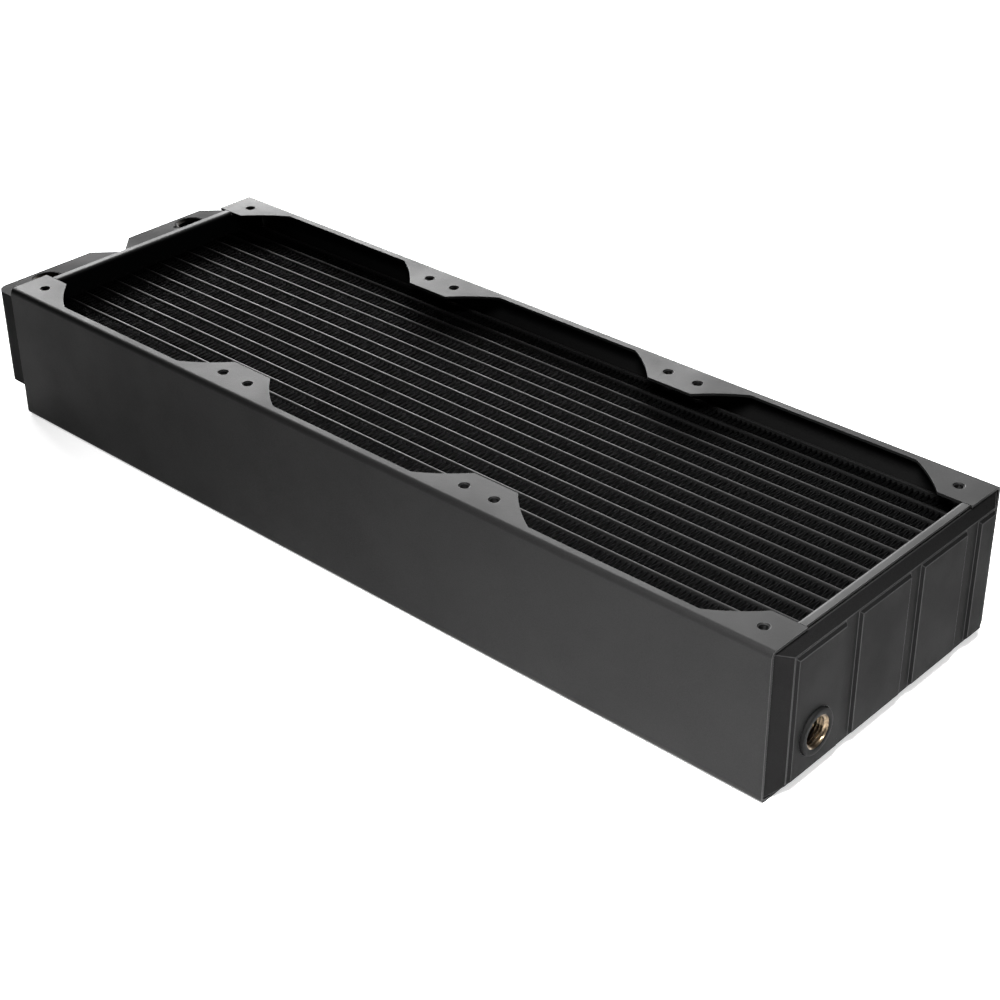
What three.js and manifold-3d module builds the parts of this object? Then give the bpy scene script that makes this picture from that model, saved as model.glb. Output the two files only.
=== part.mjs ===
// Liquid cooling radiator for a row of 140 mm fans: two folded side panels hold a core of flat tubes and
// corrugated fins between two slotted header plates, with a two-chamber port tank at one end and a ribbed
// return tank at the other.
// Millimetres. +X runs from the port tank to the return tank, +Y to the rear panel, +Z up to the upper fan
// face. The origin is the middle of the underside.
import * as THREE from "three";
import { mergeVertices } from "three/addons/utils/BufferGeometryUtils.js";
import Module from "manifold-3d";

const wasm = await Module();
wasm.setup();

// Fan grid: three 140 mm fans, side by side, on each face
const FAN_PITCH = 140;
const FAN_CENTRES = [-FAN_PITCH, 0, FAN_PITCH];
const SCREW_HALF_SPACING = 124.5 / 2;
const FAN_OPENING_R = 79;

// Frame
const HEIGHT = 65;
const HALF_WIDTH = 73.35;
const PANEL_HALF_LENGTH = 213.8;
const SHEET = 1.2;
const BEND_R = 2.5;
const RAIL_WIDTH = 5;
const GUSSET_REACH = 20.5;
const GAP = 0.3;

// Fan screw threads in the flanges
const THREAD_R = 2;
const COUNTERSINK_R = 2.5;
const COUNTERSINK_DEPTH = 0.5;
const COLLAR_R = 2.75;
const COLLAR_DEPTH = 2;
const HOLE_STEPS = 16;

// Core, recessed below both fan faces: two rows of tubes, one above the other
const CORE_INSET = 10.1;
const TUBE_COLUMNS = 14;
const TUBE_PITCH = 8.8;
const TUBE_WIDTH = 2;
const TUBE_WALL = 0.25;
const TUBE_ROW_GAP = 1.6;
const ROUND_STEPS = 2;
const FIN_FOLDS = 20;
const FIN_SHEET = 0.5;
const FIN_INSET = 0.3;
const SIDE_PLATE_SHEET = 1.2;

// Header plates: the face that looks into the core, and the lip that shows beside the fans
const PORT_HEADER_X = -205.3;
const RETURN_HEADER_X = 208.7;
const HEADER_LIP = 4.1;
const HEADER_BEND_R = 1.8;

// Port tank: two chambers parted by a notch in the end face
const PORT_REACH = 236.6;
const PORT_TANK_INSET = 9.3;
const TANK_HALF_WIDTH = 66.7;
const TANK_WALL = 0.8;
const PORT_TANK_CHAMFER = 9.7;
const PORT_TANK_CORNER_R = 6;
const NOTCH_HALF_WIDTH = 11.8;
const DIVIDER_SHEET = 1.4;
const TOP_PORT_X = -227.5;
const TOP_PORT_Y = 43.5;
const DIMPLE_R = 1.1;
const DIMPLE_DEPTH = 0.6;
const DIMPLE_OFFSET_X = -2;
const DIMPLE_OFFSET_Y = -8;

// Return tank: a shallow cup with a straight rim, walls that slant in, and four raised pads on its end face
const RETURN_MOUTH_X = 210.5;
const RETURN_RIM_X = 213.2;
const RETURN_END_X = 217.3;
const RETURN_RIM_HALF_WIDTH = 71.5;
const RETURN_RIM_INSET = 1.8;
const RETURN_END_HALF_WIDTH = 64.5;
const RETURN_END_INSET = 4.8;
const PAD_RISE = 1.3;
const PAD_SLANT = 1;
const PAD_INSET = 5.5;
const PAD_SPANS = [[-64.1, -34.2], [-26.2, 6.4], [13.3, 44.2], [52.5, 64.1]];
const RETURN_PORT_Y = -49.9;
const RETURN_PORT_Z = 21.6;

// Threaded port bushes, G1/4
const PORT_BORE_R = 5.75;
const PORT_MOUTH_R = 6.7;
const PORT_CHAMFER = 1;
const TOP_BUSH_R = 7.4;
const TOP_BUSH_LENGTH = 8;
const RETURN_BUSH_R = 9.3;
const RETURN_BUSH_LENGTH = 7.4;
const RETURN_BUSH_RISE = 1.2;
const BUSH_STEPS = 24;

// The shapes are drawn with x measured from the middle fan, and the group moves them to the origin
const RETURN_BUSH_X = RETURN_END_X + PAD_RISE + RETURN_BUSH_RISE;
const MIDDLE_FAN_X = (PORT_REACH - RETURN_BUSH_X) / 2;
const TUBE_DEPTH = (HEIGHT - 2 * CORE_INSET - TUBE_ROW_GAP) / 2;
const SIDE_PLATE_Y = ((TUBE_COLUMNS + 1) / 2) * TUBE_PITCH;

const X = new THREE.Vector3(1, 0, 0);
const Y = new THREE.Vector3(0, 1, 0);
const Z = new THREE.Vector3(0, 0, 1);

const coatedSteel = { color: 0x4a4a4c, roughness: 0.5, metalness: 0.3 };
const coatedTank = { color: 0x38383a, roughness: 0.45, metalness: 0.3 };
const coatedBrass = { color: 0x2c2c2e, roughness: 0.5, metalness: 0.4 };
const coatedCopper = { color: 0x1b1b1c, roughness: 0.6, metalness: 0.4 };
const bareBrass = { color: 0xb5935a, roughness: 0.3, metalness: 1 };

const radiator = new THREE.Group();
radiator.position.x = MIDDLE_FAN_X;

function addPart(name, geometry, finish) {
  const mesh = new THREE.Mesh(geometry, new THREE.MeshStandardMaterial(finish));
  mesh.name = name;
  radiator.add(mesh);
}

function solid(geometry) {
  const bare = geometry.clone();
  bare.deleteAttribute("normal");
  bare.deleteAttribute("uv");
  const merged = mergeVertices(bare);
  return new wasm.Manifold(
    new wasm.Mesh({
      numProp: 3,
      vertProperties: merged.attributes.position.array,
      triVerts: new Uint32Array(merged.index.array),
    }),
  );
}

function geometryOf(manifold) {
  const mesh = manifold.getMesh();
  const geometry = new THREE.BufferGeometry();
  geometry.setAttribute("position", new THREE.BufferAttribute(mesh.vertProperties, 3));
  geometry.setIndex(new THREE.BufferAttribute(mesh.triVerts, 1));
  geometry.computeVertexNormals();
  return geometry;
}

function box([x0, x1], [y0, y1], [z0, z1]) {
  const geometry = new THREE.BoxGeometry(x1 - x0, y1 - y0, z1 - z0);
  return geometry.translate((x0 + x1) / 2, (y0 + y1) / 2, (z0 + z1) / 2);
}

// An outline in X and Y, raised from z0 to z1
function raised(outline, z0, z1, curveSegments = 6) {
  const options = { depth: z1 - z0, bevelEnabled: false, curveSegments };
  return new THREE.ExtrudeGeometry(outline, options).translate(0, 0, z0);
}

// An outline in Y and Z, run along X from x0 to x1
function runAlongX(outline, x0, x1, curveSegments = 4) {
  const options = { depth: x1 - x0, bevelEnabled: false, curveSegments };
  const geometry = new THREE.ExtrudeGeometry(outline, options);
  return geometry.applyMatrix4(new THREE.Matrix4().makeBasis(Y, Z, X)).translate(x0, 0, 0);
}

// An outline in X and Z, run along Y as far to each side of the middle
function runAlongY(outline, halfWidth, curveSegments = 4) {
  const options = { depth: 2 * halfWidth, bevelEnabled: false, curveSegments };
  const geometry = new THREE.ExtrudeGeometry(outline, options);
  const turn = new THREE.Matrix4().makeBasis(X, Z, Y.clone().negate());
  return geometry.applyMatrix4(turn).translate(0, halfWidth, 0);
}

// A profile of [radius, height] points turned about Z, its foot at the given point
function turned(profile, steps, x, y, z) {
  const points = profile.map(([r, h]) => new THREE.Vector2(r, h));
  const geometry = new THREE.LatheGeometry(points, steps);
  return geometry.rotateX(Math.PI / 2).translate(x, y, z);
}

// A right-angle folded sheet with lips at both ends, as an outline: u runs along the lips, v across the web
function foldedOutline(lip, height, bend, sheet) {
  const inner = bend - sheet;
  const outline = new THREE.Shape();
  outline.moveTo(lip, 0);
  outline.lineTo(bend, 0);
  outline.absarc(bend, bend, bend, -Math.PI / 2, -Math.PI, true);
  outline.lineTo(0, height - bend);
  outline.absarc(bend, height - bend, bend, Math.PI, Math.PI / 2, true);
  outline.lineTo(lip, height);
  outline.lineTo(lip, height - sheet);
  outline.lineTo(bend, height - sheet);
  outline.absarc(bend, height - bend, inner, Math.PI / 2, Math.PI, false);
  outline.lineTo(sheet, bend);
  outline.absarc(bend, bend, inner, Math.PI, (3 * Math.PI) / 2, false);
  outline.lineTo(lip, sheet);
  outline.closePath();
  return outline;
}

// A flange tab beside the fan openings: each end is square, or an arc about the fan centre given
function gussetOutline(xStart, xEnd, fanBefore, fanAfter) {
  const root = HALF_WIDTH - BEND_R;
  const foot = HALF_WIDTH - RAIL_WIDTH;
  const reach = HALF_WIDTH - GUSSET_REACH;
  const wide = Math.sqrt(FAN_OPENING_R ** 2 - reach ** 2);
  const narrow = Math.sqrt(FAN_OPENING_R ** 2 - foot ** 2);
  const outline = new THREE.Shape();
  if (fanAfter === null) {
    outline.moveTo(xEnd, -root);
    outline.lineTo(xEnd, -reach);
  } else {
    outline.moveTo(fanAfter - narrow, -root);
    outline.lineTo(fanAfter - narrow, -foot);
    const from = Math.atan2(-foot, -narrow);
    outline.absarc(fanAfter, 0, FAN_OPENING_R, from, Math.atan2(-reach, -wide), true);
  }
  if (fanBefore === null) {
    outline.lineTo(xStart, -reach);
    outline.lineTo(xStart, -root);
  } else {
    const from = Math.atan2(-reach, wide);
    outline.lineTo(fanBefore + wide, -reach);
    outline.absarc(fanBefore, 0, FAN_OPENING_R, from, Math.atan2(-foot, narrow), true);
    outline.lineTo(fanBefore + narrow, -root);
  }
  outline.closePath();
  return outline;
}

// Threaded collar under a flange, and the bore that goes through both, for one screw at (x, y)
function screwCollar(x, y, top) {
  const height = COLLAR_DEPTH + SHEET / 2;
  const profile = [[0, 0], [COLLAR_R, 0], [COLLAR_R, height], [0, height]];
  const z = top ? HEIGHT - SHEET - COLLAR_DEPTH : SHEET / 2;
  return solid(turned(profile, HOLE_STEPS, x, y, z));
}

function screwBore(x, y, top) {
  const depth = SHEET + COLLAR_DEPTH;
  const profile = [
    [0, -1],
    [THREAD_R, -1],
    [THREAD_R, depth - COUNTERSINK_DEPTH],
    [COUNTERSINK_R, depth],
    [COUNTERSINK_R, depth + 1],
    [0, depth + 1],
  ];
  const geometry = turned(profile, HOLE_STEPS, 0, 0, 0);
  if (!top) geometry.rotateX(Math.PI);
  return solid(geometry.translate(x, y, top ? HEIGHT - depth : depth));
}

// The front panel: a folded channel with tabs on both flanges. The rear panel is the same sheet turned round.
function sidePanel() {
  const channel = runAlongX(
    foldedOutline(RAIL_WIDTH, HEIGHT, BEND_R, SHEET),
    -PANEL_HALF_LENGTH,
    PANEL_HALF_LENGTH,
  );
  let panel = solid(channel.translate(0, -HALF_WIDTH, 0));
  const edges = [null, ...FAN_CENTRES, null];
  for (let i = 0; i + 1 < edges.length; i += 1) {
    const outline = gussetOutline(-PANEL_HALF_LENGTH, PANEL_HALF_LENGTH, edges[i], edges[i + 1]);
    panel = panel.add(solid(raised(outline, HEIGHT - SHEET, HEIGHT)));
    panel = panel.add(solid(raised(outline, 0, SHEET)));
  }
  for (const top of [true, false]) {
    for (const fan of FAN_CENTRES) {
      for (const side of [-1, 1]) {
        const x = fan + side * SCREW_HALF_SPACING;
        panel = panel.add(screwCollar(x, -SCREW_HALF_SPACING, top));
        panel = panel.subtract(screwBore(x, -SCREW_HALF_SPACING, top));
      }
    }
  }
  return geometryOf(panel);
}

// The section of a flat tube, grown by the margin given: u across the core, v through its depth
function tubeOutline(y, z, margin) {
  const r = TUBE_WIDTH / 2 + margin;
  const flat = TUBE_DEPTH / 2 - TUBE_WIDTH / 2;
  const outline = new THREE.Shape();
  outline.absarc(y, z + flat, r, 0, Math.PI, false);
  outline.absarc(y, z - flat, r, Math.PI, 2 * Math.PI, false);
  outline.closePath();
  return outline;
}

function tubePlaces() {
  const places = [];
  for (let column = 0; column < TUBE_COLUMNS; column += 1) {
    const y = (column - (TUBE_COLUMNS - 1) / 2) * TUBE_PITCH;
    const number = String(column + 1).padStart(2, "0");
    places.push({ name: `tube_upper_${number}`, y, z: HEIGHT - CORE_INSET - TUBE_DEPTH / 2 });
    places.push({ name: `tube_lower_${number}`, y, z: CORE_INSET + TUBE_DEPTH / 2 });
  }
  return places;
}

function flatTube({ y, z }) {
  const outline = tubeOutline(y, z, 0);
  outline.holes.push(tubeOutline(y, z, -TUBE_WALL));
  return runAlongX(outline, PORT_HEADER_X - SHEET, RETURN_HEADER_X + SHEET, ROUND_STEPS);
}

// One corrugated fin strip, centred on y, its folds running the whole length between the header plates
function finStrip(y) {
  const length = RETURN_HEADER_X - PORT_HEADER_X - 4 * GAP;
  const fold = length / FIN_FOLDS;
  const span = TUBE_PITCH - TUBE_WIDTH - 2 * GAP;
  const skin = FIN_SHEET * Math.hypot(1, span / fold);
  const swing = (span - skin) / 2;
  const crests = [];
  for (let i = 0; i <= FIN_FOLDS; i += 1) {
    const side = i % 2 ? 1 : -1;
    crests.push([PORT_HEADER_X + 2 * GAP + i * fold, y + side * swing]);
  }
  const lower = crests.map(([x, v]) => new THREE.Vector2(x, v - skin / 2));
  const upper = crests.map(([x, v]) => new THREE.Vector2(x, v + skin / 2));
  const outline = new THREE.Shape([...lower, ...upper.reverse()]);
  return raised(outline, CORE_INSET + FIN_INSET, HEIGHT - CORE_INSET - FIN_INSET);
}

function coreSidePlate(side) {
  const y = side * SIDE_PLATE_Y;
  return box(
    [PORT_HEADER_X + GAP, RETURN_HEADER_X - GAP],
    [y - SIDE_PLATE_SHEET / 2, y + SIDE_PLATE_SHEET / 2],
    [CORE_INSET, HEIGHT - CORE_INSET],
  );
}

// A header plate: folded lips between the flange tabs, wings behind them, and a slot for each tube.
// outwards is +1 for the return end and -1 for the port end.
function headerPlate(face, outwards) {
  const back = face + outwards * SHEET;
  const lipHalfWidth = HALF_WIDTH - GUSSET_REACH - GAP;
  const wingHalfWidth = HALF_WIDTH - SHEET - GAP;
  const channel = runAlongY(foldedOutline(HEADER_LIP, HEIGHT, HEADER_BEND_R, SHEET), lipHalfWidth);
  if (outwards < 0) channel.rotateZ(Math.PI);
  channel.translate(face, 0, 0);
  const thickness = [Math.min(face, back), Math.max(face, back)];
  const wings = box(thickness, [-wingHalfWidth, wingHalfWidth], [BEND_R, HEIGHT - BEND_R]);
  const tabHalfWidth = HALF_WIDTH - BEND_R - GAP;
  const underTabs = box(
    thickness,
    [-tabHalfWidth, tabHalfWidth],
    [HEADER_BEND_R, HEIGHT - HEADER_BEND_R],
  );
  let plate = solid(channel).add(solid(wings)).add(solid(underTabs));
  for (const { y, z } of tubePlaces()) {
    const slot = tubeOutline(y, z, GAP);
    const x0 = Math.min(face, back) - 1;
    plate = plate.subtract(solid(runAlongX(slot, x0, x0 + SHEET + 2, ROUND_STEPS)));
  }
  return geometryOf(plate);
}

// Plan of the port tank, shrunk by the margin given: a chamfered rear corner, a rounded front corner and a
// notch between the chambers
function portTankOutline(mouth, margin) {
  const end = -PORT_REACH + margin;
  const wide = TANK_HALF_WIDTH - margin;
  const slant = margin * Math.tan(Math.PI / 8);
  const bevel = margin * (Math.SQRT2 - 1);
  const notch = NOTCH_HALF_WIDTH + slant;
  const radius = PORT_TANK_CORNER_R - margin;
  const outline = new THREE.Shape();
  outline.moveTo(mouth, -wide);
  outline.lineTo(mouth, wide);
  outline.lineTo(-PORT_REACH + PORT_TANK_CHAMFER + bevel, wide);
  outline.lineTo(end, TANK_HALF_WIDTH - PORT_TANK_CHAMFER - bevel);
  outline.lineTo(end, notch);
  outline.lineTo(end + notch, 0);
  outline.lineTo(end, -notch);
  outline.absarc(end + radius, -wide + radius, radius, Math.PI, (3 * Math.PI) / 2, false);
  outline.closePath();
  return outline;
}

function portTank() {
  const mouth = PORT_HEADER_X - SHEET - GAP;
  const top = HEIGHT - PORT_TANK_INSET;
  const shell = raised(portTankOutline(mouth, 0), PORT_TANK_INSET, top);
  const floor = PORT_TANK_INSET + TANK_WALL;
  const hollow = raised(portTankOutline(mouth + 1, TANK_WALL), floor, top - TANK_WALL);
  let tank = solid(shell).subtract(solid(hollow));
  for (const y of [-TOP_PORT_Y, TOP_PORT_Y]) {
    const opening = [[0, -3], [TOP_BUSH_R + GAP, -3], [TOP_BUSH_R + GAP, 1], [0, 1]];
    tank = tank.subtract(solid(turned(opening, BUSH_STEPS, TOP_PORT_X, y, top)));
    const dimple = [[0, -DIMPLE_DEPTH], [DIMPLE_R, -DIMPLE_DEPTH], [DIMPLE_R, 1], [0, 1]];
    const x = TOP_PORT_X + DIMPLE_OFFSET_X;
    tank = tank.subtract(solid(turned(dimple, HOLE_STEPS, x, y + DIMPLE_OFFSET_Y, top)));
  }
  return geometryOf(tank);
}

function tankDivider() {
  const notchFloor = -PORT_REACH + NOTCH_HALF_WIDTH + TANK_WALL * Math.SQRT2;
  const clear = PORT_TANK_INSET + TANK_WALL + GAP;
  return box(
    [notchFloor + DIVIDER_SHEET / 2 + 2 * GAP, PORT_HEADER_X - SHEET - GAP],
    [-DIVIDER_SHEET / 2, DIVIDER_SHEET / 2],
    [clear, HEIGHT - clear],
  );
}

// A threaded ring with a chamfered mouth, its mouth at the height given
function bushProfile(outer, length) {
  return [
    [PORT_BORE_R, -length],
    [outer, -length],
    [outer, 0],
    [PORT_MOUTH_R, 0],
    [PORT_BORE_R, -PORT_CHAMFER],
    [PORT_BORE_R, -length],
  ];
}

function topPortBush(y) {
  const profile = bushProfile(TOP_BUSH_R, TOP_BUSH_LENGTH);
  return turned(profile, BUSH_STEPS, TOP_PORT_X, y, HEIGHT - PORT_TANK_INSET);
}

function returnPortBush() {
  const geometry = turned(bushProfile(RETURN_BUSH_R, RETURN_BUSH_LENGTH), BUSH_STEPS, 0, 0, 0);
  geometry.applyMatrix4(new THREE.Matrix4().makeBasis(Y, Z, X));
  return geometry.translate(RETURN_BUSH_X, RETURN_PORT_Y, RETURN_PORT_Z);
}

// Section of the return tank, shrunk by the margin given: x outwards, and half its breadth to each side
function cupOutline(mouth, rimHalf, endHalf, margin) {
  const rim = RETURN_RIM_X - margin;
  const end = RETURN_END_X - margin;
  return new THREE.Shape([
    new THREE.Vector2(mouth, margin - rimHalf),
    new THREE.Vector2(rim, margin - rimHalf),
    new THREE.Vector2(end, margin - endHalf),
    new THREE.Vector2(end, endHalf - margin),
    new THREE.Vector2(rim, rimHalf - margin),
    new THREE.Vector2(mouth, rimHalf - margin),
  ]);
}

function returnTankCup(mouth, margin) {
  const middle = HEIGHT / 2;
  const plan = cupOutline(mouth, RETURN_RIM_HALF_WIDTH, RETURN_END_HALF_WIDTH, margin);
  const side = cupOutline(mouth, middle - RETURN_RIM_INSET, middle - RETURN_END_INSET, margin);
  const upright = solid(raised(plan, 0, HEIGHT));
  return upright.intersect(solid(runAlongY(side, HALF_WIDTH).translate(0, 0, middle)));
}

// One raised pad of the return tank, slanted on all four sides
function tankPad([y0, y1]) {
  const low = PAD_INSET + PAD_SLANT;
  const high = HEIGHT - PAD_INSET - PAD_SLANT;
  const outline = new THREE.Shape([
    new THREE.Vector2(y0 + PAD_SLANT, low),
    new THREE.Vector2(y1 - PAD_SLANT, low),
    new THREE.Vector2(y1 - PAD_SLANT, high),
    new THREE.Vector2(y0 + PAD_SLANT, high),
  ]);
  const geometry = new THREE.ExtrudeGeometry(outline, {
    depth: TANK_WALL / 2,
    bevelThickness: PAD_RISE,
    bevelSize: PAD_SLANT,
    bevelSegments: 1,
  });
  geometry.applyMatrix4(new THREE.Matrix4().makeBasis(Y, Z, X));
  return geometry.translate(RETURN_END_X - TANK_WALL / 2, 0, 0);
}

function returnTank() {
  const hollow = returnTankCup(RETURN_MOUTH_X - 1, TANK_WALL);
  let tank = returnTankCup(RETURN_MOUTH_X, 0);
  for (const span of PAD_SPANS) tank = tank.add(solid(tankPad(span)));
  tank = tank.subtract(hollow);
  const opening = turned(
    [[0, -4], [RETURN_BUSH_R + GAP, -4], [RETURN_BUSH_R + GAP, 4], [0, 4]],
    BUSH_STEPS,
    0,
    0,
    0,
  );
  opening.applyMatrix4(new THREE.Matrix4().makeBasis(Y, Z, X));
  tank = tank.subtract(solid(opening.translate(RETURN_END_X, RETURN_PORT_Y, RETURN_PORT_Z)));
  return geometryOf(tank);
}

addPart("side_panel_front", sidePanel(), coatedSteel);
addPart("side_panel_rear", sidePanel().rotateZ(Math.PI), coatedSteel);
addPart("header_plate_port_end", headerPlate(PORT_HEADER_X, -1), coatedSteel);
addPart("header_plate_return_end", headerPlate(RETURN_HEADER_X, 1), coatedSteel);
addPart("port_tank", portTank(), coatedTank);
addPart("port_tank_divider", tankDivider(), coatedBrass);
addPart("return_tank", returnTank(), coatedTank);
addPart("port_bush_front", topPortBush(-TOP_PORT_Y), bareBrass);
addPart("port_bush_rear", topPortBush(TOP_PORT_Y), bareBrass);
addPart("port_bush_return", returnPortBush(), bareBrass);
addPart("core_side_plate_front", coreSidePlate(-1), coatedBrass);
addPart("core_side_plate_rear", coreSidePlate(1), coatedBrass);
for (const place of tubePlaces()) addPart(place.name, flatTube(place), coatedBrass);
for (let strip = 0; strip <= TUBE_COLUMNS; strip += 1) {
  const y = (strip - TUBE_COLUMNS / 2) * TUBE_PITCH;
  addPart(`fin_strip_${String(strip + 1).padStart(2, "0")}`, finStrip(y), coatedCopper);
}

export default radiator;
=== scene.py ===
# Looks of a liquid cooling radiator: powder-coated frame, satin tanks, brass ports, and a core of flat
# tubes and fine folded fins. Metres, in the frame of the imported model: +X to the return tank, +Y to the
# rear, +Z up.
import math
import random

import bmesh
import bpy
from mathutils import Matrix, Vector


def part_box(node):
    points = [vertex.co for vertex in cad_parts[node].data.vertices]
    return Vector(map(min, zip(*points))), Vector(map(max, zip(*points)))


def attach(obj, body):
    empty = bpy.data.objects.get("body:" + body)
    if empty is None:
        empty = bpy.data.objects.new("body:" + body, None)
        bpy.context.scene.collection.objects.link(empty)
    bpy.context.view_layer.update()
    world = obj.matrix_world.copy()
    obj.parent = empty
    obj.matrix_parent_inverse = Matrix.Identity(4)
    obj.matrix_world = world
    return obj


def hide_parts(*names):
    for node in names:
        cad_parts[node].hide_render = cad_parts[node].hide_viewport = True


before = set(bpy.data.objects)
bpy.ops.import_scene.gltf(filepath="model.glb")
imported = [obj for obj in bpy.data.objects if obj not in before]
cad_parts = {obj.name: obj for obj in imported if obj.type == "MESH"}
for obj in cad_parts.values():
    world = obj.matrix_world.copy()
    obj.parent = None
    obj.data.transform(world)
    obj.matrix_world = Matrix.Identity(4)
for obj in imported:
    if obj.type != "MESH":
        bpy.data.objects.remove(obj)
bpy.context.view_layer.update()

TUBES = sorted(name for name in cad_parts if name.startswith("tube_"))
FINS = sorted(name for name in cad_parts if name.startswith("fin_strip_"))

MM = 0.001

# Camera: where it stands, and where it looks, as turns from looking along +Y
CAMERA_PLACE = (0.52106, -0.52677, 0.45118)
CAMERA_AZIMUTH = 42.918
CAMERA_ELEVATION = 31.272
CAMERA_ROLL = -0.635
CAMERA_LENS = 71.32
CAMERA_SENSOR = 36
CAMERA_REACH = 50

# Rounds along the edges of folded and pressed sheet, after coating
SHEET_EDGE = 0.22 * MM
SHEET_EDGE_STEPS = 2
TANK_EDGE = 0.9 * MM
TANK_EDGE_STEPS = 3

# Turns between neighbouring faces, in degrees: below FLAT_TURN they are one flat face, and above the
# others an edge is rounded or stays sharp
FLAT_TURN = 1
ROUNDED_TURN = 28
SHARP_TUBE_TURN = 40
SHARP_BUSH_TURN = 45
SHARP_FIN_TURN = 50

# Points of a CAD mesh that are closer than this are one point
WELD_REACH = 1e-6

# Screw grid of the fans, and the M4 threads in it
FAN_PITCH = 140 * MM
SCREW_HALF_SPACING = 62.25 * MM
SCREW_THREAD_PITCH = 0.7 * MM
SCREW_THREAD_ROOT = 1.96 * MM
SCREW_THREAD_CREST = 1.66 * MM
SCREW_THREAD_LENGTH = 2.4 * MM
SCREW_THREAD_START = 0.6 * MM
SCREW_THREAD_WALL = 0.02 * MM
SCREW_STEPS = 20

# G1/4 threads of the ports, and the bush around them
PORT_THREAD_PITCH = 1.337 * MM
PORT_THREAD_CREST = 5.75 * MM
PORT_THREAD_ROOT = 6.55 * MM
PORT_THREAD_START = 1.0 * MM
PORT_LIP = 0.35 * MM
PORT_LIP_MIDDLE = 0.3 * PORT_LIP
PORT_MOUTH = 0.4 * MM
PORT_MOUTH_STEP = 0.15 * MM
PORT_MOUTH_DEPTH = 0.2 * MM
PORT_STEPS = 56

# Rings of points in one turn of a thread
THREAD_LEVELS = 6

# Core
FIN_LEG = 1.25 * MM
FIN_SHEET = 0.08 * MM
FIN_CREST = 0.3 * MM
FIN_SHOULDER = 0.8 * FIN_CREST
FIN_JITTER = 0.12 * MM
TUBE_END_STEPS = 8
TUBE_WALL = 0.3 * MM
FILLET = 0.9 * MM
FILLET_HOLLOW = (0.35 * MM, 0.3 * MM)
FILLET_SINK = -0.05 * MM

# Floor, and the light that comes from it and from all around
FLOOR_REACH = 15
FLOOR_DROP = 0.1 * MM
FLOOR_GLOW = 0.64
WORLD_GLOW = 0.06


# ---------------------------------------------------------------- materials

def shader(name, **values):
    """A material with a Principled shader; values are set on its own sockets."""
    material = bpy.data.materials.new(name)
    material.use_nodes = True
    principled = material.node_tree.nodes["Principled BSDF"]
    for socket, value in values.items():
        principled.inputs[socket.replace("_", " ")].default_value = value
    return material, material.node_tree, principled


def noise(tree, scale, detail, roughness=0.5, squeeze=(1, 1, 1)):
    """Noise over the object's own coordinates, as a socket that runs from 0 to 1."""
    place = tree.nodes.new("ShaderNodeTexCoord")
    mapping = tree.nodes.new("ShaderNodeMapping")
    mapping.inputs["Scale"].default_value = squeeze
    texture = tree.nodes.new("ShaderNodeTexNoise")
    texture.inputs["Scale"].default_value = scale
    texture.inputs["Detail"].default_value = detail
    texture.inputs["Roughness"].default_value = roughness
    tree.links.new(place.outputs["Object"], mapping.inputs["Vector"])
    tree.links.new(mapping.outputs["Vector"], texture.inputs["Vector"])
    return texture.outputs["Fac"]


def between(tree, factor, low, high, start=0.35, end=0.65):
    """The factor spread from start..end to low..high."""
    spread = tree.nodes.new("ShaderNodeMapRange")
    spread.inputs["From Min"].default_value = start
    spread.inputs["From Max"].default_value = end
    spread.inputs["To Min"].default_value = low
    spread.inputs["To Max"].default_value = high
    tree.links.new(factor, spread.inputs["Value"])
    return spread.outputs["Result"]


def blended(tree, factor, first, second):
    """A colour from first to second, by the factor."""
    mix = tree.nodes.new("ShaderNodeMix")
    mix.data_type = "RGBA"
    mix.inputs["A"].default_value = (*first, 1)
    mix.inputs["B"].default_value = (*second, 1)
    tree.links.new(factor, mix.inputs["Factor"])
    return mix.outputs["Result"]


def bumped(tree, principled, layers):
    """Stacked bumps: each layer is a height socket and its depth in metres."""
    normal = None
    for height, depth in layers:
        bump = tree.nodes.new("ShaderNodeBump")
        bump.inputs["Strength"].default_value = 1
        bump.inputs["Distance"].default_value = depth
        tree.links.new(height, bump.inputs["Height"])
        if normal:
            tree.links.new(normal, bump.inputs["Normal"])
        normal = bump.outputs["Normal"]
    tree.links.new(normal, principled.inputs["Normal"])


def coat(name, dark, light, rough, grain, grain_depth, gloss):
    """Powder coat or paint in greys: fine grain that flecks the tone, orange peel, and slow drifts of
    roughness.
    """
    material, tree, principled = shader(name, IOR=1.5, Specular_IOR_Level=gloss)
    speckle = noise(tree, scale=grain, detail=3, roughness=0.6)
    drift = noise(tree, scale=35, detail=4)
    peel = noise(tree, scale=650, detail=2)
    flecks = between(tree, speckle, low=0, high=1, start=0.3, end=0.7)
    tone = blended(tree, flecks, (dark,) * 3, (light,) * 3)
    tree.links.new(tone, principled.inputs["Base Color"])
    roughness = between(tree, drift, low=rough - 0.05, high=rough + 0.05)
    tree.links.new(roughness, principled.inputs["Roughness"])
    bumped(tree, principled, [(peel, 0.02 * MM), (speckle, grain_depth)])
    return material


def bare_brass(name, darkest, bright, rough):
    """Machined brass: rings of tool marks, tarnish in patches."""
    material, tree, principled = shader(name, Metallic=1)
    tarnish = noise(tree, scale=420, detail=5)
    marks = noise(tree, scale=900, detail=2, squeeze=(1, 1, 4))
    tone = blended(tree, between(tree, tarnish, low=0, high=1), darkest, bright)
    tree.links.new(tone, principled.inputs["Base Color"])
    roughness = between(tree, tarnish, low=rough + 0.12, high=rough - 0.05)
    tree.links.new(roughness, principled.inputs["Roughness"])
    bumped(tree, principled, [(marks, 0.01 * MM)])
    return material


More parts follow.
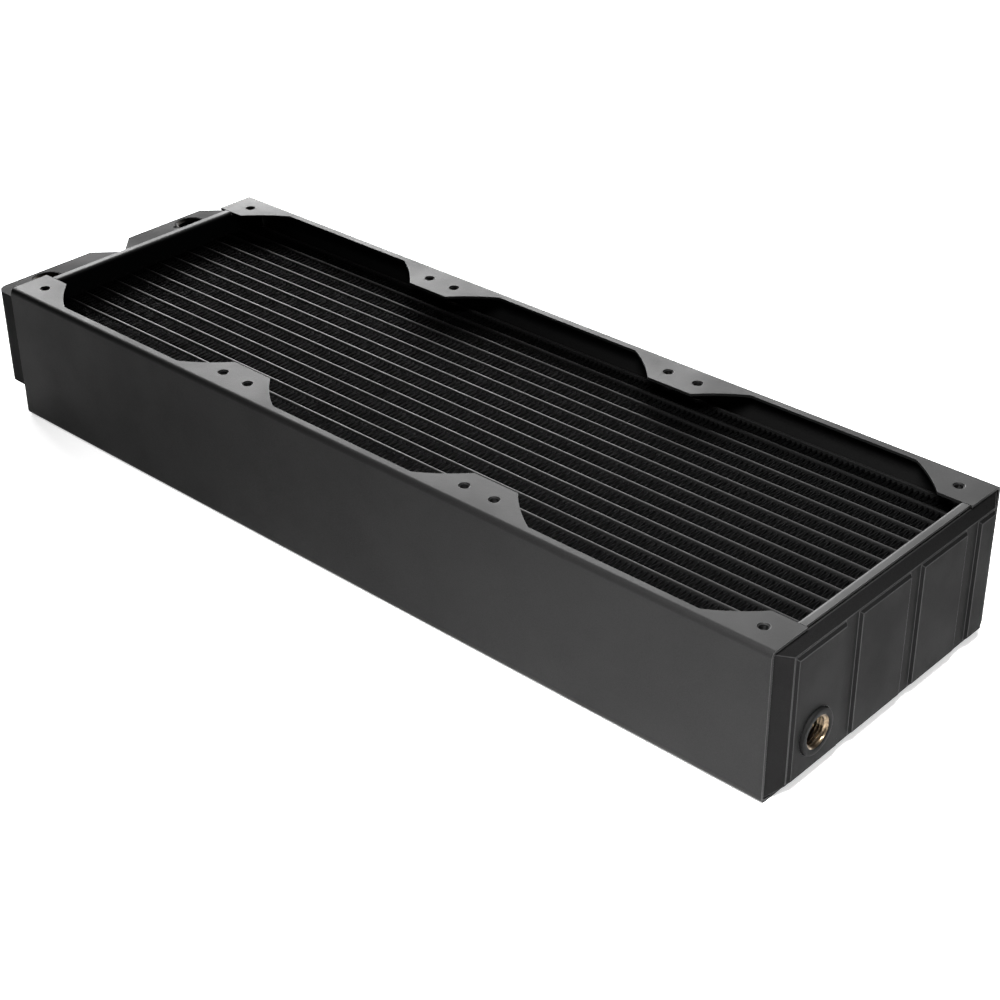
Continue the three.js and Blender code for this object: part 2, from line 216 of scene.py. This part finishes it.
def fin_coat():
    """Thin black coat on copper fins, darkened further as painted shade of the core: rows of louvres across
    each fin, dusty patches.
    """
    material, tree, principled = shader("coated_fins_with_painted_shade", IOR=1.5, Specular_IOR_Level=0.05)
    dust = noise(tree, scale=260, detail=4)
    patches = between(tree, dust, low=0, high=1)
    # A tone near black, darker than the other coats: the fins' black coat plus painted shade of the core.
    tone = blended(tree, patches, (0.0012, 0.0012, 0.0013), (0.003, 0.003, 0.0031))
    tree.links.new(tone, principled.inputs["Base Color"])
    roughness = between(tree, dust, low=0.55, high=0.7)
    tree.links.new(roughness, principled.inputs["Roughness"])
    place = tree.nodes.new("ShaderNodeTexCoord")
    louvre = tree.nodes.new("ShaderNodeTexWave")
    louvre.bands_direction = "Z"
    louvre.wave_profile = "SAW"
    louvre.inputs["Scale"].default_value = 210
    tree.links.new(place.outputs["Object"], louvre.inputs["Vector"])
    bumped(tree, principled, [(louvre.outputs["Fac"], 0.25 * MM), (dust, 0.02 * MM)])
    return material


FRAME_COAT = coat(
    "frame_powder_coat", dark=0.004, light=0.011, rough=0.46, grain=5200, grain_depth=0.018 * MM, gloss=0.04
)
HEADER_COAT = coat(
    "header_satin_coat", dark=0.005, light=0.012, rough=0.52, grain=4200, grain_depth=0.01 * MM, gloss=0.08
)
# Rounded edges of the frame take a lighter coat: partly wear of the coat, partly a painted highlight along
# each edge.
FRAME_EDGE = coat(
    "frame_edge_wear_and_painted_highlight", dark=0.02, light=0.04, rough=0.42, grain=5200, grain_depth=0.015 * MM, gloss=0.2
)
TANK_COAT = coat(
    "tank_satin_coat", dark=0.0025, light=0.006, rough=0.58, grain=3600, grain_depth=0.006 * MM, gloss=0.02
)
# Rounded edges of the tanks take a lighter coat: partly wear of the coat, partly a painted highlight along
# each edge.
TANK_EDGE_COAT = coat(
    "tank_edge_wear_and_painted_highlight", dark=0.006, light=0.014, rough=0.5, grain=3600, grain_depth=0.006 * MM, gloss=0.12
)
TUBE_COAT = coat(
    "tube_coat", dark=0.002, light=0.005, rough=0.42, grain=2400, grain_depth=0.02 * MM, gloss=0.06
)
CORE_COAT = coat(
    "core_plate_coat", dark=0.004, light=0.009, rough=0.55, grain=3000, grain_depth=0.02 * MM, gloss=0.05
)
FIN_COAT = fin_coat()
BRASS = bare_brass(
    "port_thread_brass", darkest=(0.05, 0.038, 0.026), bright=(0.2, 0.152, 0.1), rough=0.34
)
# The top ports' threads take a copy of the brass darkened about tenfold: painted shade deep in their bores,
# over the tarnish in patches.
SHADED_BRASS = bare_brass(
    "port_brass_with_painted_shade", darkest=(0.006, 0.005, 0.004), bright=(0.02, 0.016, 0.012), rough=0.5
)


# ---------------------------------------------------------------- mesh helpers

def place_piece(name, mesh, materials, slot, *stands_for):
    """A new piece of the radiator, which may stand for CAD nodes."""
    piece = bpy.data.objects.new(name, mesh)
    bpy.context.scene.collection.objects.link(piece)
    for material in materials:
        mesh.materials.append(material)
    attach(piece, "root")
    if stands_for:
        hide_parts(*stands_for)
    return piece


def mesh_from(name, points, faces, smooth=True):
    """A mesh of the given faces, all turned outwards."""
    mesh = bpy.data.meshes.new(name)
    mesh.from_pydata(points, [], faces)
    shape = bmesh.new()
    shape.from_mesh(mesh)
    bmesh.ops.recalc_face_normals(shape, faces=shape.faces)
    shape.to_mesh(mesh)
    shape.free()
    mesh.polygons.foreach_set("use_smooth", [smooth] * len(mesh.polygons))
    mesh.update()
    return mesh


def softened(name, node, face, edge, slot, width, segments):
    """A CAD node's shape with its edges rounded; the rounded edges take the edge material."""
    shape = bmesh.new()
    shape.from_mesh(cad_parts[node].data)
    bmesh.ops.remove_doubles(shape, verts=shape.verts, dist=WELD_REACH)
    bmesh.ops.dissolve_limit(
        shape, angle_limit=math.radians(FLAT_TURN), verts=shape.verts, edges=shape.edges
    )
    mesh = bpy.data.meshes.new(name)
    shape.to_mesh(mesh)
    shape.free()
    mesh.materials.clear()
    mesh.polygons.foreach_set("use_smooth", [True] * len(mesh.polygons))
    mesh.polygons.foreach_set("material_index", [0] * len(mesh.polygons))
    piece = place_piece(name, mesh, [face, edge], slot, node)
    bevel = piece.modifiers.new("rounded edges", "BEVEL")
    bevel.limit_method = "ANGLE"
    bevel.angle_limit = math.radians(ROUNDED_TURN)
    bevel.width = width
    bevel.segments = segments
    # Rounded edges take the second material, which for the frame and tanks is lighter: partly wear, partly
    # painted highlight.
    bevel.material = 1
    bevel.use_clamp_overlap = True
    normals = piece.modifiers.new("flat faces", "WEIGHTED_NORMAL")
    normals.keep_sharp = False
    normals.weight = 100


def grid_faces(rings, around):
    """Quads between rings of points, each ring closed on itself and the last joined to the first."""
    faces = []
    for ring in range(rings):
        after = (ring + 1) % rings
        for i in range(around):
            j = (i + 1) % around
            faces.append((ring * around + i, ring * around + j, after * around + j, after * around + i))
    return faces


# ---------------------------------------------------------------- core

def stadium(y, z, half_depth, radius):
    """Points of a flat tube's section, counter-clockwise seen from +X."""
    flat = half_depth - radius
    points = []
    for side, centre in ((0, z + flat), (math.pi, z - flat)):
        for i in range(TUBE_END_STEPS + 1):
            angle = side + math.pi * i / TUBE_END_STEPS
            points.append((y + radius * math.cos(angle), centre + radius * math.sin(angle)))
    return points


def flat_tube(node):
    """A flat tube with round edges and a wall, open at both ends."""
    low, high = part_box(node)
    centre = (low + high) / 2
    half = (high - low) / 2
    outer = stadium(centre.y, centre.z, half.z, half.y)
    inner = stadium(centre.y, centre.z, half.z - TUBE_WALL, half.y - TUBE_WALL)
    points = []
    for section, x in ((outer, low.x), (outer, high.x), (inner, high.x), (inner, low.x)):
        points += [(x, y, z) for y, z in section]
    faces = grid_faces(4, len(outer))
    mesh = mesh_from(node + "_skin", points, faces)
    mesh.set_sharp_from_angle(angle=math.radians(SHARP_TUBE_TURN))
    place_piece("flat_" + node, mesh, [TUBE_COAT], "coated_tube", node)


def fin_path(x0, x1, swing, dice):
    """A folded line from x0 to x1: round crests at +swing and -swing in turn, slightly uneven."""
    legs = round((x1 - x0) / FIN_LEG)
    step = (x1 - x0) / legs
    path = []
    for i in range(legs + 1):
        side = 1 if i % 2 else -1
        inside = 0 < i < legs
        x = x0 + i * step + (dice.uniform(-FIN_JITTER, FIN_JITTER) if inside else 0)
        shoulder = side * (swing - FIN_SHOULDER)
        if i > 0:
            path.append((x - FIN_CREST, shoulder))
        path.append((x, side * swing))
        if i < legs:
            path.append((x + FIN_CREST, shoulder))
    return path


def thick_path(path, sheet):
    """The two sides of a folded line of the given sheet."""
    sides = [], []
    last = len(path) - 1
    for i, (x, y) in enumerate(path):
        before, after = path[max(i - 1, 0)], path[min(i + 1, last)]
        along = Vector((after[0] - before[0], after[1] - before[1])).normalized()
        across = Vector((-along.y, along.x)) * sheet / 2
        sides[0].append((x + across.x, y + across.y))
        sides[1].append((x - across.x, y - across.y))
    return sides[0] + sides[1][::-1]


def folded_fin(node, dice):
    """A fin strip with the fine folds that its CAD node stands for."""
    low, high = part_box(node)
    y = (low.y + high.y) / 2
    swing = (high.y - low.y - FIN_SHEET) / 2
    inset = FIN_SHEET
    outline = thick_path(fin_path(low.x + inset, high.x - inset, swing, dice), FIN_SHEET)
    count = len(outline)
    points = [(x, y + v, low.z) for x, v in outline] + [(x, y + v, high.z) for x, v in outline]
    faces = [(i, (i + 1) % count, count + (i + 1) % count, count + i) for i in range(count)]
    for i in range(count // 2 - 1):
        j = count - 1 - i
        faces.append((i, j, j - 1, i + 1))
        faces.append((count + i, count + i + 1, count + j - 1, count + j))
    mesh = mesh_from(node + "_folds", points, faces)
    mesh.set_sharp_from_angle(angle=math.radians(SHARP_FIN_TURN))
    place_piece("folded_" + node, mesh, [FIN_COAT], "coated_fin", node)


def solder_fillets(name, header, inwards):
    """A ring of solder round each tube where it enters a header plate."""
    low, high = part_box(header)
    face = high.x if inwards > 0 else low.x
    profile = (
        (FILLET, FILLET_SINK),
        FILLET_HOLLOW,
        (FILLET_SINK, FILLET),
        (FILLET_SINK, FILLET_SINK),
    )
    around = 2 * (TUBE_END_STEPS + 1)
    points, faces = [], []
    for node in TUBES:
        tube_low, tube_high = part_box(node)
        centre = (tube_low + tube_high) / 2
        half = (tube_high - tube_low) / 2
        start = len(points)
        for out, rise in profile:
            ring = stadium(centre.y, centre.z, half.z + out, half.y + out)
            points += [(face + inwards * rise, y, z) for y, z in ring]
        faces += [tuple(start + i for i in quad) for quad in grid_faces(len(profile), around)]
    mesh = mesh_from(name, points, faces)
    place_piece(name, mesh, [CORE_COAT], "coated_core")


def build_core():
    """Tubes, fins, solder where the tubes end, and the plates beside them."""
    for node in TUBES:
        flat_tube(node)
    for number, node in enumerate(FINS):
        folded_fin(node, random.Random(number))
    solder_fillets("solder_fillets_port_end", "header_plate_port_end", 1)
    solder_fillets("solder_fillets_return_end", "header_plate_return_end", -1)
    for side in ("front", "rear"):
        node = "core_side_plate_" + side
        softened("rounded_" + node, node, CORE_COAT, CORE_COAT, "coated_core", SHEET_EDGE, SHEET_EDGE_STEPS)


# ---------------------------------------------------------------- frame and tanks

def build_frame():
    """The side panels and the header plates."""
    coats = {
        "side_panel_front": FRAME_COAT,
        "side_panel_rear": FRAME_COAT,
        "header_plate_port_end": HEADER_COAT,
        "header_plate_return_end": HEADER_COAT,
    }
    for node, face in coats.items():
        softened("coated_" + node, node, face, FRAME_EDGE, "coated_frame", SHEET_EDGE, SHEET_EDGE_STEPS)


def build_tanks():
    """Both tanks, and the divider inside the port tank."""
    for node in ("port_tank", "return_tank"):
        softened("coated_" + node, node, TANK_COAT, TANK_EDGE_COAT, "coated_tank", TANK_EDGE, TANK_EDGE_STEPS)
    node = "port_tank_divider"
    softened("rounded_" + node, node, CORE_COAT, CORE_COAT, "coated_core", SHEET_EDGE, SHEET_EDGE_STEPS)


# ---------------------------------------------------------------- threads

def thread_wall(steps, root, crest, pitch, top, bottom):
    """Rings of a wall from top to bottom that follow one thread, flat at its crest and at its root."""
    levels = max(2, round((top - bottom) / pitch * THREAD_LEVELS))
    rings = []
    for level in range(levels + 1):
        z = top + (bottom - top) * level / levels
        ring = []
        for i in range(steps):
            angle = 2 * math.pi * i / steps
            turn = (z / pitch - i / steps) % 1
            ridge = 1 - abs(2 * turn - 1)
            # The lowest and the highest sixth of a ridge are flat
            with_flats = min(1, max(0, 1.5 * ridge - 0.25))
            radius = root + (crest - root) * with_flats
            ring.append((radius * math.cos(angle), radius * math.sin(angle), z))
        rings.append(ring)
    return rings


def plain_ring(steps, radius, z):
    """A circle of points at one height."""
    return [
        (radius * math.cos(2 * math.pi * i / steps), radius * math.sin(2 * math.pi * i / steps), z)
        for i in range(steps)
    ]


def threaded_sleeve(rings, steps):
    """Points and faces of a sleeve round Z from its rings, which run round its wall."""
    points = [point for ring in rings for point in ring]
    return points, grid_faces(len(rings), steps)


def build_screw_threads():
    """A thread in each screw hole of each flange, one piece for each panel."""
    inside = SCREW_THREAD_ROOT - SCREW_THREAD_WALL
    bottom = -SCREW_THREAD_LENGTH
    wall = thread_wall(SCREW_STEPS, inside, SCREW_THREAD_CREST, SCREW_THREAD_PITCH, 0, bottom)
    outer = [plain_ring(SCREW_STEPS, SCREW_THREAD_ROOT, z) for z in (bottom, 0)]
    sleeve, faces = threaded_sleeve(wall + outer, SCREW_STEPS)
    for side, sign in (("front", -1), ("rear", 1)):
        low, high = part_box("side_panel_" + side)
        middle = (low.x + high.x) / 2
        points, all_faces = [], []
        for flange, flip in ((high.z - SCREW_THREAD_START, 1), (low.z + SCREW_THREAD_START, -1)):
            for fan in (-1, 0, 1):
                for hole in (-1, 1):
                    start = len(points)
                    x = middle + fan * FAN_PITCH + hole * SCREW_HALF_SPACING
                    y = sign * SCREW_HALF_SPACING
                    points += [(x + px, y + flip * py, flange + flip * pz) for px, py, pz in sleeve]
                    all_faces += [tuple(start + i for i in face) for face in faces]
        mesh = mesh_from("screw_threads_" + side, points, all_faces)
        place_piece("screw_threads_" + side, mesh, [TUBE_COAT], "coated_frame")


def build_bush(node, axis, thread):
    """A port bush: coated outside and on its lip, its thread of the given material."""
    low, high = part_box(node)
    size = high - low
    length = size.x if axis == "X" else size.z
    radius = size.y / 2
    outer = [
        plain_ring(PORT_STEPS, radius, -length),
        plain_ring(PORT_STEPS, radius, -PORT_LIP),
        plain_ring(PORT_STEPS, radius - PORT_LIP_MIDDLE, -PORT_LIP_MIDDLE),
        plain_ring(PORT_STEPS, radius - PORT_LIP, 0),
        plain_ring(PORT_STEPS, PORT_THREAD_ROOT + PORT_MOUTH, 0),
        plain_ring(PORT_STEPS, PORT_THREAD_ROOT + PORT_MOUTH_STEP, -PORT_MOUTH_DEPTH),
    ]
    wall = thread_wall(
        PORT_STEPS, PORT_THREAD_ROOT, PORT_THREAD_CREST, PORT_THREAD_PITCH, -PORT_THREAD_START, -length
    )
    points, faces = threaded_sleeve(outer + wall, PORT_STEPS)
    mesh = mesh_from(node + "_thread", points, faces)
    coated = PORT_STEPS * (len(outer) - 1)
    for number, polygon in enumerate(mesh.polygons):
        polygon.material_index = 0 if number < coated else 1
    if axis == "X":
        place = Matrix.Translation((high.x, (low.y + high.y) / 2, (low.z + high.z) / 2))
        turn = Matrix.Rotation(math.pi / 2, 4, "Y")
    else:
        place = Matrix.Translation(((low.x + high.x) / 2, (low.y + high.y) / 2, high.z))
        turn = Matrix.Identity(4)
    mesh.transform(place @ turn)
    mesh.set_sharp_from_angle(angle=math.radians(SHARP_BUSH_TURN))
    place_piece("threaded_" + node, mesh, [TANK_COAT, thread], "port_brass", node)


# ---------------------------------------------------------------- studio

def build_camera():
    """The camera of the photograph."""
    data = bpy.data.cameras.new("camera")
    data.lens = CAMERA_LENS
    data.sensor_width = CAMERA_SENSOR
    data.clip_end = CAMERA_REACH
    camera = bpy.data.objects.new("camera", data)
    camera.matrix_world = (
        Matrix.Translation(CAMERA_PLACE)
        @ Matrix.Rotation(math.radians(CAMERA_AZIMUTH), 4, "Z")
        @ Matrix.Rotation(math.radians(90 - CAMERA_ELEVATION), 4, "X")
        @ Matrix.Rotation(math.radians(CAMERA_ROLL), 4, "Z")
    )
    bpy.context.scene.collection.objects.link(camera)
    bpy.context.scene.camera = camera


def build_floor():
    """Pale paper, a hair below the flanges so that the two faces never share a plane."""
    corners = ((-1, -1), (1, -1), (1, 1), (-1, 1))
    points = [(x * FLOOR_REACH, y * FLOOR_REACH, -FLOOR_DROP) for x, y in corners]
    mesh = mesh_from("floor", points, [(0, 1, 2, 3)], smooth=False)
    floor = bpy.data.objects.new("floor", mesh)
    bpy.context.scene.collection.objects.link(floor)
    material, tree, principled = shader("pale_paper", Roughness=0.9, Specular_IOR_Level=0.1)
    fibre = noise(tree, scale=300, detail=3)
    tone = blended(tree, fibre, (0.86, 0.86, 0.86), (0.9, 0.9, 0.9))
    tree.links.new(tone, principled.inputs["Base Color"])
    principled.inputs["Emission Color"].default_value = (1, 1, 1, 1)
    principled.inputs["Emission Strength"].default_value = FLOOR_GLOW
    mesh.materials.append(material)


def soft_box(name, place, target, width, height, power, spread=180):
    """A rectangular lamp at a place, turned to a target, its beam as wide as the spread in degrees."""
    data = bpy.data.lights.new(name, "AREA")
    data.shape = "RECTANGLE"
    data.size = width
    data.size_y = height
    data.energy = power
    data.spread = math.radians(spread)
    lamp = bpy.data.objects.new(name, data)
    lamp.location = place
    lamp.rotation_euler = (Vector(place) - Vector(target)).to_track_quat("Z", "Y").to_euler()
    bpy.context.scene.collection.objects.link(lamp)


def build_light():
    """A dim white world, two soft boxes behind the radiator and a small lamp over its return end."""
    world = bpy.data.worlds.new("studio")
    world.use_nodes = True
    background = world.node_tree.nodes["Background"]
    background.inputs["Color"].default_value = (1, 1, 1, 1)
    background.inputs["Strength"].default_value = WORLD_GLOW
    bpy.context.scene.world = world
    soft_box("rear_left_softbox", (-1.42, 0.95, 0.58), (0, 0, 0), width=1.6, height=0.55, power=84)
    soft_box("rear_right_softbox", (-0.7, 1.32, 1.05), (0, 0, 0), width=0.8, height=0.5, power=27)
    soft_box(
        "front_right_overhead", (0.34, -0.36, 0.7), (0.3, -0.16, 0),
        width=0.3, height=0.3, power=5, spread=60,
    )
    bpy.context.scene.view_settings.view_transform = "Standard"


build_camera()
build_floor()
build_light()
build_frame()
build_tanks()
build_core()
build_screw_threads()
build_bush("port_bush_return", "X", BRASS)
# The top ports' threads take the brass darkened as painted shade.
build_bush("port_bush_front", "Z", SHADED_BRASS)
build_bush("port_bush_rear", "Z", SHADED_BRASS)
